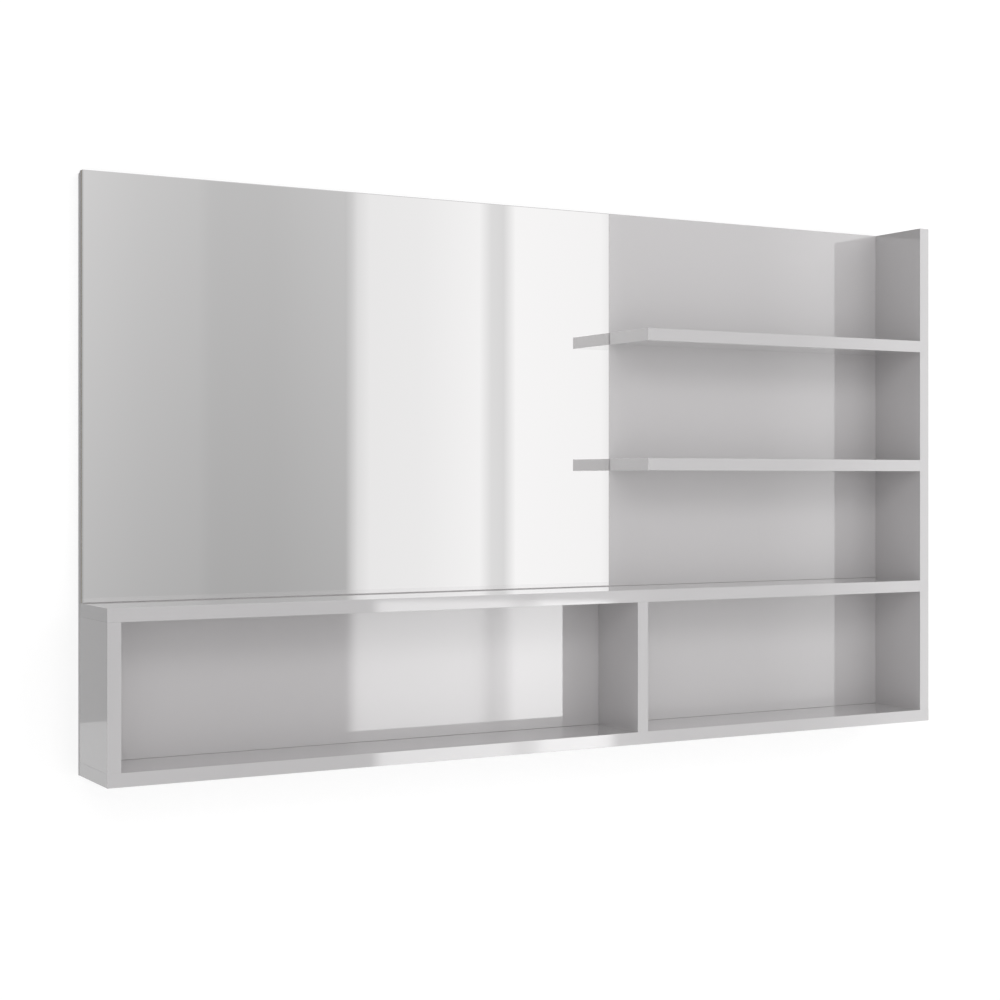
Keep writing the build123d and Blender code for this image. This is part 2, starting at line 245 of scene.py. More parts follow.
def handling_marks(label):
    """Roughness with soft patches that are wiped in fine streaks."""
    inputs = {"Clean": 0.05, "Marked": 0.12, "Patches Per Metre": 7.0, "Streak Share": 0.4}
    tree, given, out = new_group(label, "ShaderNodeTree", inputs, {"Roughness": "Float"})
    place = place_on_object(tree)
    patches = noise(tree, place, given["Patches Per Metre"], 5.0, 0.6, 0.8)
    patches = between(tree, patches, 0.5, 0.72)
    wiped = stretched(tree, place, (6.0, 60.0, 60.0), (0.3, 0.5, 0.9))
    streaks = noise(tree, wiped, 2.0, 4.0, 0.7)
    streaks = times(tree, between(tree, streaks, 0.5, 0.8), given["Streak Share"])
    marks = times(tree, patches, maths(tree, "ADD", streaks, 0.6), clamp=True)
    feed(tree, out, {"Roughness": blended(tree, marks, given["Clean"], given["Marked"])})
    return tree


def tone_drift(label):
    """A colour that drifts slightly over the length of a board."""
    inputs = {"Colour": GREY, "Drift": 0.03, "Drifts Per Metre": 3.0, "Fine Grain": 0.01}
    tree, given, out = new_group(label, "ShaderNodeTree", inputs, {"Colour": "Color"})
    place = place_on_object(tree)
    slow = maths(tree, "SUBTRACT", noise(tree, place, given["Drifts Per Metre"], 3.0), 0.5)
    fine = maths(tree, "SUBTRACT", noise(tree, place, GRAINS_PER_METRE, 1.0), 0.5)
    slow = times(tree, slow, given["Drift"])
    fine = times(tree, fine, given["Fine Grain"])
    factor = maths(tree, "ADD", maths(tree, "ADD", slow, fine), 1.0)
    feed(tree, out, {"Colour": vector_maths(tree, "MULTIPLY", given["Colour"], factor)})
    return tree


def glue_line(label):
    """The hairline between an edge strip and its board, at a plane across an axis."""
    inputs = {"Colour": GREY, "Glue Colour": GREY, "Line Width": 0.0002}
    inputs.update({"Axis": tuple(WALLWARD), "Plane At": 0.0})
    tree, given, out = new_group(label, "ShaderNodeTree", inputs, {"Colour": "Color"})
    place = place_on_object(tree)
    along = vector_maths(tree, "DOT_PRODUCT", place, given["Axis"], result="Value")
    away = maths(tree, "ABSOLUTE", maths(tree, "SUBTRACT", along, given["Plane At"]))
    line = between(tree, away, 0.0, given["Line Width"], 1.0, 0.0)
    feed(tree, out, {"Colour": mixed(tree, line, given["Colour"], given["Glue Colour"])})
    return tree


def pressed_fibre(label):
    """Colour and height of wood fibre board where it is cut."""
    colours = {"Light Fibre": (0.46, 0.33, 0.21, 1), "Dark Fibre": (0.24, 0.16, 0.1, 1)}
    inputs = {**colours, "Fibres Per Metre": 900.0}
    outputs = {"Colour": "Color", "Height": "Float"}
    tree, given, out = new_group(label, "ShaderNodeTree", inputs, outputs)
    place = place_on_object(tree)
    strands = noise(tree, place, given["Fibres Per Metre"], 4.0, 0.7, 1.5)
    clumps = noise(tree, place, times(tree, given["Fibres Per Metre"], 0.12), 3.0)
    share = times(tree, strands, maths(tree, "ADD", clumps, 0.5), clamp=True)
    colour = mixed(tree, share, given["Dark Fibre"], given["Light Fibre"])
    feed(tree, out, {"Colour": colour, "Height": strands})
    return tree


def zinc_coat(label):
    """Cloudy tone, roughness and height of zinc plating on steel."""
    inputs = {"Bright Zinc": GREY, "Dull Zinc": GREY}
    inputs.update({"Clouds Per Metre": 180.0, "Smooth": 0.24, "Dull": 0.46})
    outputs = {"Colour": "Color", "Roughness": "Float", "Height": "Float"}
    tree, given, out = new_group(label, "ShaderNodeTree", inputs, outputs)
    place = place_on_object(tree)
    clouds = between(tree, noise(tree, place, given["Clouds Per Metre"], 5.0, 0.65, 0.6), 0.3, 0.7)
    lines = noise(tree, stretched(tree, place, (300.0, 300.0, 4000.0)), 1.0, 2.0, 0.6)
    colour = mixed(tree, clouds, given["Bright Zinc"], given["Dull Zinc"])
    roughness = blended(tree, clouds, given["Smooth"], given["Dull"])
    feed(tree, out, {"Colour": colour, "Roughness": roughness, "Height": lines})
    return tree


def scene_object(name, data):
    """A new object in the scene."""
    made = bpy.data.objects.new(name, data)
    bpy.context.scene.collection.objects.link(made)
    return made


# Materials

GLASS_IOR = 1.52
# Foam tape: the first tone is painted shade in the middle of each cell's dimple, the second is the
# foam on the rims between them
TAPE_PIT_SHADE = (0.62, 0.62, 0.6, 1)
TAPE_CELLS = (0.82, 0.82, 0.8, 1)
FRESH_ZINC = (0.8, 0.81, 0.83, 1)
CUT_GLASS_ROUGHNESS = 0.12
TAPE_CELLS_PER_METRE = 2200.0
SPANGLES_PER_METRE = 260.0
# How far a surface faces a side, from where it starts to count as that side to where it does
REAR_FACING = (0.5, 0.6)
SILVER_FACING = (0.5, 0.65)
# How far it faces the wall or the room at most, to be a cut in the panel or a carrier's edge
CUT_FACING = 0.9
EDGE_FACING = 0.5


def empty_tree(owner):
    """The node tree of a material or world, cleared."""
    owner.use_nodes = True
    owner.node_tree.nodes.clear()
    return owner.node_tree


def surface_material(name):
    """A material with nothing but its shader and output."""
    material = bpy.data.materials.new(name)
    tree = empty_tree(material)
    shader = put(tree, "ShaderNodeBsdfPrincipled")
    put(tree, "ShaderNodeOutputMaterial", {"Surface": shader.outputs["BSDF"]})
    return material, tree, shader.inputs


def bump(tree, height, distance):
    """A normal from a height; distance is how far a height of one stands out."""
    inputs = {"Height": height, "Distance": distance}
    return put(tree, "ShaderNodeBump", inputs).outputs["Normal"]


def surface(tree, shader, colour, roughness, normal):
    """Gives a shader its colour, its roughness and its normal."""
    feed(tree, shader, {"Base Color": colour, "Roughness": roughness, "Normal": normal})


def coat(tree, shader, ior, coat_ior, coat_roughness):
    """Gives a shader its refractive index and a full clear coat."""
    values = {"Coat IOR": coat_ior, "Coat Weight": 1.0, "Coat Roughness": coat_roughness}
    feed(tree, shader, {"IOR": ior, **values})


def gloss_surface(tree, shader, finish, colour):
    """Sprayed gloss lacquer over the given colour."""
    marks = apply_effect(tree, handling_marks, clean=finish.clean, marked=finish.marked)
    flow = apply_effect(tree, lacquer_flow)
    normal = bump(tree, flow["Height"], finish.flow_height)
    coat(tree, shader, finish.lacquer_ior, finish.coat_ior, finish.coat_roughness)
    surface(tree, shader, colour, marks["Roughness"], normal)


def board_material(finish):
    """Light grey gloss lacquer of the frame boards and shelves."""
    material, tree, shader = surface_material("gloss_board")
    drift = apply_effect(tree, tone_drift, colour=opaque(finish.board_colour))
    gloss_surface(tree, shader, finish, drift["Colour"])
    return material


def back_board_material(finish):
    """The same lacquer on the front and edges of a back board, and its raw rear."""
    material, tree, shader = surface_material("gloss_back_board")
    drift = apply_effect(tree, tone_drift, colour=opaque(finish.board_colour))
    core = apply_effect(tree, pressed_fibre)
    rear = between(tree, facing(tree, WALLWARD), *REAR_FACING)
    gloss_surface(tree, shader, finish, mixed(tree, rear, drift["Colour"], core["Colour"]))
    return material


def band_material(finish, name, axis, nodes):
    """Edge strip across an axis; the glue line lies on the strip's inner face."""
    low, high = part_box(nodes[0])
    inner = min(low.dot(axis), high.dot(axis))
    material, tree, shader = surface_material(name)
    tone, drifts = opaque(finish.band_colour), finish.band_drifts
    drift = apply_effect(tree, tone_drift, colour=tone, drifts_per_metre=drifts)
    glued = apply_effect(
        tree,
        glue_line,
        colour=drift["Colour"],
        glue_colour=opaque(finish.glue_colour),
        axis=tuple(axis),
        plane_at=inner,
        line_width=finish.glue_width,
    )
    gloss_surface(tree, shader, finish, glued["Colour"])
    return material


def rear_panel_material(finish):
    """Matt grey laminate with a fine pearl texture, and raw fibre in its cuts."""
    material, tree, shader = surface_material("rear_board")
    low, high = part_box("rear_panel")
    place = place_on_object(tree)
    centre = (low + high) / 2
    half = (high - low) / 2
    off = vector_maths(tree, "ABSOLUTE", vector_maths(tree, "SUBTRACT", place, tuple(centre)))
    split = put(tree, "ShaderNodeSeparateXYZ", {0: off}).outputs
    inside_x = maths(tree, "LESS_THAN", split["X"], half.x - finish.coated_edge)
    inside_z = maths(tree, "LESS_THAN", split["Z"], half.z - finish.coated_edge)
    toward_wall = maths(tree, "ABSOLUTE", facing(tree, WALLWARD))
    across = maths(tree, "LESS_THAN", toward_wall, CUT_FACING)
    cut = times(tree, across, times(tree, inside_x, inside_z))
    core = apply_effect(tree, pressed_fibre)
    drift = apply_effect(
        tree, tone_drift, colour=opaque(finish.laminate_colour), fine_grain=finish.laminate_grain
    )
    marks = apply_effect(tree, handling_marks, clean=0.42, marked=0.55, patches_per_metre=4.0)
    pearl = noise(tree, place, finish.pearls_per_metre, 2.0)
    colour = mixed(tree, cut, drift["Colour"], core["Colour"])
    roughness = blended(tree, cut, marks["Roughness"], finish.raw_roughness)
    height = blended(tree, cut, pearl, core["Height"])
    surface(tree, shader, colour, roughness, bump(tree, height, finish.pearl_height))
    return material


def carrier_material(finish):
    """Fibre board of the mirror's carrier, with grey primer on its edges."""
    material, tree, shader = surface_material("carrier_board")
    core = apply_effect(tree, pressed_fibre)
    toward_wall = maths(tree, "ABSOLUTE", facing(tree, WALLWARD))
    edge = maths(tree, "LESS_THAN", toward_wall, EDGE_FACING)
    primed = apply_effect(
        tree, tone_drift, colour=opaque(finish.primer_colour), fine_grain=0.12, drift=0.06
    )
    colour = mixed(tree, edge, core["Colour"], primed["Colour"])
    marks = apply_effect(tree, handling_marks, clean=0.5, marked=0.65)
    normal = bump(tree, core["Height"], finish.fibre_height)
    surface(tree, shader, colour, marks["Roughness"], normal)
    return material


def tape_material():
    """White closed-cell foam tape, with painted shade that darkens the middle of each cell's
    dimple.
    """
    material, tree, shader = surface_material("mounting_tape")
    cells = {"Vector": place_on_object(tree), "Scale": TAPE_CELLS_PER_METRE}
    depth = put(tree, "ShaderNodeTexVoronoi", cells).outputs["Distance"]
    # Painted shade: the darker tone lies in each dimple's middle and gives way to the plain foam
    # towards the rims
    rim_share = between(tree, depth, 0.1, 0.6)
    colour = mixed(tree, rim_share, TAPE_PIT_SHADE, TAPE_CELLS)
    roughness = between(tree, depth, 0, 1, 0.7, 0.9)
    surface(tree, shader, colour, roughness, bump(tree, depth, distance=0.00015))
    return material


def mirror_material(finish):
    """Silvered glass: mirror in front and on the ground arris, cut glass on the edges."""
    material, tree, shader = surface_material("mirror")
    silver = between(tree, facing(tree, FRONT), *SILVER_FACING)
    edge_depth = put(tree, "ShaderNodeSeparateXYZ", {0: place_on_object(tree)}).outputs["Y"]
    low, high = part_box("mirror_glass")
    depth_share = between(tree, edge_depth, low.y, high.y, smooth=False)
    edge = mixed(tree, depth_share, opaque(finish.glass_edge_light), opaque(finish.glass_edge_dark))
    drift = apply_effect(
        tree, tone_drift, colour=opaque(finish.silver_colour), drift=0.006, fine_grain=0.0
    )
    marks = apply_effect(
        tree, handling_marks, clean=finish.mirror_clean, marked=finish.mirror_marked
    )
    colour = mixed(tree, silver, edge, drift["Colour"])
    roughness = blended(tree, silver, CUT_GLASS_ROUGHNESS, marks["Roughness"])
    feed(tree, shader, {"Base Color": colour, "Roughness": roughness, "Metallic": silver})
    coat(tree, shader, GLASS_IOR, GLASS_IOR, 0.0)
    return material


def beech_material(fixings):
    """Beech dowel: grain and short dark flecks along each dowel's own length."""
    material, tree, shader = surface_material("dowel_beech")
    own = put(tree, "ShaderNodeAttribute", attribute_name=OWN_PLACE).outputs["Vector"]
    grain = noise(tree, stretched(tree, own, (900.0, 900.0, 60.0)), 1.0, 5.0, 0.6, 0.4)
    flecks = noise(tree, stretched(tree, own, (2600.0, 2600.0, 380.0)), 1.0, 1.0)
    flecks = between(tree, flecks, 0.62, 0.7)
    wood = mixed(tree, grain, opaque(fixings.beech_dark), opaque(fixings.beech_light))
    colour = mixed(tree, flecks, wood, opaque(fixings.beech_fleck))
    roughness = between(tree, grain, 0, 1, 0.5, 0.7)
    surface(tree, shader, colour, roughness, bump(tree, grain, distance=0.00006))
    return material


def plated(tree, fixings, **values):
    """The zinc effect in the fixings' colours."""
    bright, dull = opaque(fixings.zinc_bright), opaque(fixings.zinc_dull)
    return apply_effect(tree, zinc_coat, bright_zinc=bright, dull_zinc=dull, **values)


def screw_material(fixings):
    """Zinc-plated screw, with turning lines round its own axis."""
    material, tree, shader = surface_material("zinc_screw")
    own = put(tree, "ShaderNodeAttribute", attribute_name=OWN_PLACE).outputs["Vector"]
    flat = vector_maths(tree, "MULTIPLY", own, (1.0, 1.0, 0.0))
    radius = vector_maths(tree, "LENGTH", flat, result="Value")
    rings = maths(tree, "SINE", times(tree, radius, fixings.rings_per_metre))
    zinc = plated(tree, fixings, clouds_per_metre=350.0)
    shader["Metallic"].default_value = 1.0
    normal = bump(tree, rings, distance=0.000004)
    surface(tree, shader, zinc["Colour"], zinc["Roughness"], normal)
    return material


def plate_material(fixings):
    """Galvanised sheet steel of the hanger plates."""
    material, tree, shader = surface_material("hanger_steel")
    spangles = {"Vector": place_on_object(tree), "Scale": SPANGLES_PER_METRE}
    spangle = put(tree, "ShaderNodeTexVoronoi", spangles).outputs["Color"]
    zinc = plated(tree, fixings)
    tone = put(tree, "ShaderNodeSeparateColor", {0: spangle}).outputs[0]
    patch = mixed(tree, between(tree, tone, 0, 1, 0.0, 0.35), zinc["Colour"], FRESH_ZINC)
    shader["Metallic"].default_value = 1.0
    normal = bump(tree, zinc["Height"], distance=0.00001)
    surface(tree, shader, patch, zinc["Roughness"], normal)
    return material


# Studio

# Distances from the middle of the object's rear over which a sheet's shadow fades to white
FLOOR_FADE = (1.8, 3.2)
BACKDROP_FADE = (1.1, 2.0)


def lit_paint(tree, colour, strength):
    """A matt shader that also glows."""
    paint = put(tree, "ShaderNodeBsdfDiffuse", {"Color": opaque(colour)}).outputs[0]
    glow = put(tree, "ShaderNodeEmission", {"Strength": strength}).outputs[0]
    return put(tree, "ShaderNodeAddShader", {0: paint, 1: glow}).outputs[0]


def one_or_other(tree, share, first, second):
    """A shader between two, by share."""
    return put(tree, "ShaderNodeMixShader", {0: share, 1: first, 2: second}).outputs[0]


def pale_sheet_material(name, studio, fade):
    """A floor or backdrop that is white to the camera, keeps the object's shadow near it,
    and isn't there when it is seen from its back."""
    material = bpy.data.materials.new(name)
    tree = empty_tree(material)
    near = lit_paint(tree, studio.shadow_colour, studio.sheet_glow)
    bounce = lit_paint(tree, studio.floor_colour, studio.floor_glow)
    white = put(tree, "ShaderNodeEmission").outputs[0]
    clear = put(tree, "ShaderNodeBsdfTransparent").outputs[0]
    away = vector_maths(tree, "LENGTH", place_on_object(tree), result="Value")
    seen = one_or_other(tree, between(tree, away, *fade), near, white)
    camera_ray = put(tree, "ShaderNodeLightPath").outputs["Is Camera Ray"]
    sheet = one_or_other(tree, camera_ray, bounce, seen)
    from_back = put(tree, "ShaderNodeNewGeometry").outputs["Backfacing"]
    whole = one_or_other(tree, from_back, sheet, clear)
    put(tree, "ShaderNodeOutputMaterial", {"Surface": whole})
    return material


# Tones of the curved screen in front of the object, as degrees to the right and brightness
SCREEN_TONES = (
    (-80.0, 0.45), (-55.0, 0.5), (-30.0, 1.2), (5.2, 1.55), (6.2, 0.6), (10.5, 0.535),
    (13.6, 0.505), (13.8, 0.475), (17.0, 0.475), (20.7, 0.52), (20.9, 0.74), (21.2, 0.74),
    (21.4, 0.85), (24.5, 0.87), (27.6, 0.94), (27.9, 0.76), (28.8, 0.72), (29.1, 0.97),
    (34.2, 0.95), (34.6, 0.74), (42.0, 0.8), (47.0, 1.45), (50.0, 1.5), (53.0, 0.9),
    (80.0, 0.6),
)
# Tones of the low strip of light, likewise
LOW_TONES = (
    (-80.0, 0.0), (20.7, 0.0), (20.9, 0.52), (27.4, 0.6), (27.8, 0.35), (28.6, 0.35),
    (29.1, 0.8), (32.4, 0.9), (32.9, 0.0), (80.0, 0.0),
)
SCREEN_SPAN = 80.0  # degrees to each side
SCREEN_STEPS = 96  # flat strips that make the curve
FLATS_END = (20.5, 21.0)  # degrees where the grey flats give way to the diffusers
FLATS_FALL = (-0.5, 1.0)  # heights between which the grey flats change their tone
LOW_LIGHT_SOFT = 0.02  # height over which the low strip of light fades
HIGH_LIGHT_SOFT = 0.3  # height over which the high strip of light grows
HIGH_LIGHT_START = (-60.0, -25.0)  # degrees over which the high strip of light starts
FLAGGED_SIDE = (-0.5, -0.05)  # sideways part of a direction over which the room light drops


def tones_round(tree, share, tones):
    """Brightness round the screen, from pairs of degrees and tone."""
    ramp = put(tree, "ShaderNodeValToRGB", {0: share})
    stops = ramp.color_ramp.elements
    while len(stops) > 1:
        stops.remove(stops[-1])
    highest = max(tone for _, tone in tones)
    for index, (angle, tone) in enumerate(tones):
        position = (angle + SCREEN_SPAN) / (2 * SCREEN_SPAN)
        stop = stops[0] if index == 0 else stops.new(position)
        stop.position = position
        stop.color = (tone / highest, tone / highest, tone / highest, 1)
    return times(tree, ramp.outputs["Color"], highest)


def screen_material(studio):
    """Soft light of the curved screen: grey flats in the middle, diffusers beside them."""
    material = bpy.data.materials.new("studio_screen")
    tree = empty_tree(material)
    place = put(tree, "ShaderNodeSeparateXYZ", {0: place_on_object(tree)}).outputs
    turned = maths(tree, "ARCTAN2", place["X"], times(tree, place["Y"], -1.0))
    degrees = maths(tree, "DEGREES", turned)
    share = between(tree, degrees, -SCREEN_SPAN, SCREEN_SPAN, smooth=False)
    fall = between(tree, degrees, *FLATS_END, studio.screen_fall, 0.0)
    height = between(tree, place["Z"], *FLATS_FALL, -1.0, 1.0, smooth=False)
    around = tones_round(tree, share, SCREEN_TONES)
    tone = times(tree, around, maths(tree, "MULTIPLY_ADD", fall, height, 1.0))
    top = studio.low_light_top
    low_share = between(tree, place["Z"], top - LOW_LIGHT_SOFT, top, 1.0, 0.0)
    low_light = times(tree, tones_round(tree, share, LOW_TONES), low_share)
    low_light = times(tree, low_light, studio.low_light)
    bottom = studio.high_light_bottom
    full = bottom + HIGH_LIGHT_SOFT
    high_light = between(tree, place["Z"], bottom, full, 0.0, studio.high_light)
    high_start = between(tree, degrees, *HIGH_LIGHT_START)
    high_light = times(tree, high_light, high_start)
    strength = maths(tree, "ADD", maths(tree, "ADD", tone, low_light), high_light)
    light = put(tree, "ShaderNodeEmission", {"Strength": strength})
    put(tree, "ShaderNodeOutputMaterial", {"Surface": light.outputs[0]})
    return material


# Turned pieces: screws and dowels

OWN_PLACE = "own_place"
AXIS = "axis"
SHARP_ANGLE = math.radians(38)


def separate_solids(node):
    """Lowest and highest corners of each separate solid of a CAD node."""
    shape = bmesh.new()
    shape.from_mesh(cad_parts[node].data)
    bmesh.ops.remove_doubles(shape, verts=shape.verts, dist=1e-6)
    found = []
    left_over = set(shape.verts)
    while left_over:
        reached = [left_over.pop()]
        for vert in reached:
            for edge in vert.link_edges:
                other = edge.other_vert(vert)
                if other in left_over:
                    left_over.remove(other)
                    reached.append(other)
        low = Vector(min(vert.co[i] for vert in reached) for i in range(3))
        high = Vector(max(vert.co[i] for vert in reached) for i in range(3))
        found.append((low, high))
    shape.free()
    return sorted(found, key=lambda pair: tuple(round(value, 5) for value in pair[0]))


def points_at(name, places, axes):
    """Loose points, each with the way in which its turned piece stands."""
    mesh = bpy.data.meshes.new(name)
    mesh.from_pydata([tuple(place) for place in places], [], [])
    directions = mesh.attributes.new(AXIS, "FLOAT_VECTOR", "POINT")
    for item, axis in zip(directions.data, axes):
        item.vector = axis
    return mesh


def turned_blank(name, profile, sides, top_hole=None):
    """A closed turned shape from (radius, height) pairs, top first, ending on the axis.
    top_hole is an outline left open in its flat top, with its depth and its taper."""
    shape = bmesh.new()
    rings = []
    for radius, height in profile:
        if radius == 0:
            rings.append([shape.verts.new((0, 0, height))])
            continue
        angles = (2 * math.pi * i / sides for i in range(sides))
        points = ((radius * math.cos(a), radius * math.sin(a), height) for a in angles)
        rings.append([shape.verts.new(point) for point in points])
    for upper, lower in zip(rings, rings[1:]):
        for i in range(sides):
            j = (i + 1) % sides
            if len(lower) == 1:
                shape.faces.new((upper[i], lower[0], upper[j]))
            else:
                shape.faces.new((upper[i], lower[i], lower[j], upper[j]))
    if len(rings[-1]) > 1:
        shape.faces.new(list(reversed(rings[-1])))
    if top_hole is None:
        shape.faces.new(rings[0])
    else:
        cut_top(shape, rings[0], *top_hole)
    bmesh.ops.recalc_face_normals(shape, faces=shape.faces)
    mesh = bpy.data.meshes.new(name)
    shape.to_mesh(mesh)
    shape.free()
    mesh.shade_smooth()
    mesh.set_sharp_from_angle(angle=SHARP_ANGLE)
    return mesh


def cut_top(shape, rim, outline, depth, taper):
    """Fills a flat top round a tapered blind hole with the given outline."""
    top = rim[0].co.z
    mouth = [shape.verts.new((x, y, top)) for x, y in outline]
    floor = [shape.verts.new((x * taper, y * taper, top - depth)) for x, y in outline]
    around = rim + mouth
    loops = [[vert.co for vert in rim], [vert.co for vert in mouth]]
    for corners in tessellate_polygon(loops):
        shape.faces.new([around[i] for i in corners])
    for i in range(len(mouth)):
        j = (i + 1) % len(mouth)
        shape.faces.new((mouth[i], mouth[j], floor[j], floor[i]))
    centre = shape.verts.new((0, 0, top - depth))
    for i in range(len(floor)):
        shape.faces.new((floor[i], floor[(i + 1) % len(floor)], centre))


def cross_outline(long, wide):
    """Corners of a cross with arms of that full length and width."""
    end, side = long / 2, wide / 2
    corners = []
    arm = [(side, side), (end, side), (end, -side)]
    for _ in range(4):
        corners += arm
        arm = [(y, -x) for x, y in arm]
    return corners


def screw_blank(name, head, length, fixings):
    """A countersunk screw without its thread, head up, its top at the origin."""
    shank = head / fixings.head_over_shank
    rim = fixings.head_rim
    neck = head - shank
    tip = length - fixings.tip_length_over_radius * shank
    step = fixings.thread_pitch / fixings.rings_per_turn
    profile = [(head - rim / 2, 0), (head, -rim / 2), (head, -rim), (shank, -neck)]
    count = max(2, round((tip - neck) / step))
    profile += [(shank, -neck - (tip - neck) * (i + 1) / count) for i in range(count)]
    tip_count = max(2, round((length - tip) / step))
    for i in range(1, tip_count):
        share = i / tip_count
        profile.append((shank * (1 - share), -tip - (length - tip) * share))
    profile.append((0, -length))
    arm_long, arm_wide = fixings.recess_long * head, fixings.recess_wide * head
    hole = (cross_outline(arm_long, arm_wide), fixings.recess_deep * head, fixings.recess_taper)
    return turned_blank(name, profile, fixings.screw_sides, hole)


def dowel_blank(name, radius, length, fixings):
    """A plain dowel with chamfered ends, centred on the origin."""
    chamfer = fixings.dowel_chamfer
    half = length / 2
    profile = [
        (radius - chamfer, half),
        (radius, half - chamfer),
        (radius, chamfer - half),
        (radius - chamfer, -half),
    ]
    return turned_blank(name, profile, fixings.dowel_sides)


def turned_pieces_tree():
    """Stands a blank on each point, after giving it a thread or flutes."""
    tree, given, out = new_group(
        "Turned Pieces",
        "GeometryNodeTree",
        {
            "Points": "Geometry",
            "Blank": "Object",
            "Starts": 1.0,
            "Turns Per Metre": 0.0,
            "Cut Share": 0.3,
            "Groove Ends": 0.2,
            "Crest Starts": 0.9,
            "Cut From": 0.0,
            "Cut To": -1.0,
            "Seed": 1,
            "Finish": "Material",
        },
        {"Pieces": "Geometry"},
    )
    blank = put(tree, "GeometryNodeObjectInfo", {"Object": given["Blank"]}).outputs["Geometry"]
    position = put(tree, "GeometryNodeInputPosition").outputs[0]
    keep = put(
        tree,
        "GeometryNodeStoreNamedAttribute",
        {"Geometry": blank, "Name": OWN_PLACE, "Value": position},
        data_type="FLOAT_VECTOR",
        domain="POINT",
    ).outputs["Geometry"]
    xyz = put(tree, "ShaderNodeSeparateXYZ", {0: position}).outputs
    angle = maths(tree, "DIVIDE", maths(tree, "ARCTAN2", xyz["Y"], xyz["X"]), 2 * math.pi)
    round_it = times(tree, angle, given["Starts"])
    along = times(tree, xyz["Z"], given["Turns Per Metre"])
    phase = maths(tree, "FRACT", maths(tree, "ADD", round_it, along))
    off_ridge = maths(tree, "ABSOLUTE", maths(tree, "MULTIPLY_ADD", phase, 2.0, -1.0))
    ridge = maths(tree, "SUBTRACT", 1.0, off_ridge)
    crest = between(tree, ridge, given["Groove Ends"], given["Crest Starts"], smooth=False)
    below = maths(tree, "LESS_THAN", xyz["Z"], given["Cut From"])
    above = maths(tree, "GREATER_THAN", xyz["Z"], given["Cut To"])
    within = times(tree, below, above)
    cut = times(tree, within, maths(tree, "SUBTRACT", 1.0, crest))
    factor = maths(tree, "SUBTRACT", 1.0, times(tree, cut, given["Cut Share"]))
    x, y = (times(tree, xyz[key], factor) for key in "XY")
    shaped = put(tree, "ShaderNodeCombineXYZ", {0: x, 1: y, 2: xyz["Z"]}).outputs[0]
    moved = {"Geometry": keep, "Position": shaped}
    cut_blank = put(tree, "GeometryNodeSetPosition", moved).outputs["Geometry"]
    direction = put(
        tree, "GeometryNodeInputNamedAttribute", {"Name": AXIS}, data_type="FLOAT_VECTOR"
    ).outputs["Attribute"]
    limits = {2: 0.0, 3: 2 * math.pi, "Seed": given["Seed"]}
    spin = put(tree, "FunctionNodeRandomValue", limits, data_type="FLOAT").outputs[1]
    own_turn = put(tree, "ShaderNodeCombineXYZ", {2: spin}).outputs[0]
    own_turn = put(tree, "FunctionNodeEulerToRotation", {0: own_turn}).outputs[0]
    upright = put(tree, "FunctionNodeAlignRotationToVector", {"Vector": direction}, axis="Z")
    turns = {"Rotation": upright.outputs[0], "Rotate By": own_turn}
    turned = put(tree, "FunctionNodeRotateRotation", turns, rotation_space="LOCAL").outputs[0]
    stood = {"Points": given["Points"], "Instance": cut_blank, "Rotation": turned}
    placed = put(tree, "GeometryNodeInstanceOnPoints", stood).outputs[0]
    real = put(tree, "GeometryNodeRealizeInstances", {"Geometry": placed}).outputs[0]
    done = put(tree, "GeometryNodeSetMaterial", {"Geometry": real, "Material": given["Finish"]})
    feed(tree, out, {"Pieces": done.outputs[0]})
    return tree


def turned_pieces(name, node, points, blank_mesh, material, slot, **values):
    """One mesh of turned pieces that stands for a CAD node of them."""
    tree = bpy.data.node_groups.get("Turned Pieces") or turned_pieces_tree()
    blank = scene_object(f"{name}_blank", blank_mesh)
    holder = scene_object(f"{name}_points", points)
    modifier = holder.modifiers.new("Turned Pieces", "NODES")
    modifier.node_group = tree
    sockets = [item for item in tree.interface.items_tree if item.item_type == "SOCKET"]
    ids = {item.name: item.identifier for item in sockets if item.in_out == "INPUT"}
    modifier[ids["Blank"]] = blank
    modifier[ids["Finish"]] = material
    for word, value in values.items():
        modifier[ids[word.replace("_", " ").title()]] = value
    evaluated = holder.evaluated_get(bpy.context.evaluated_depsgraph_get())
    mesh = bpy.data.meshes.new_from_object(evaluated)
    mesh.name = name
    holder.modifiers.clear()
    for made in (holder, blank):
        bpy.data.objects.remove(made)
    piece = scene_object(name, mesh)
    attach(piece, "root")
    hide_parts(node)
    return piece


# Settings that a user would change

def colour_prop(name, description, default):
    return bpy.props.FloatVectorProperty(
        name=name, description=description, default=default, subtype="COLOR", min=0, max=1
    )


def number_prop(name, description, default, **limits):
    return bpy.props.FloatProperty(name=name, description=description, default=default, **limits)


def length_prop(name, description, default):
    return number_prop(name, description, default, unit="LENGTH", precision=5, min=0)


def share_prop(name, description, default):
    return number_prop(name, description, default, subtype="FACTOR", min=0, max=1)


def count_prop(name, description, default, least):
    return bpy.props.IntProperty(name=name, description=description, default=default, min=least)


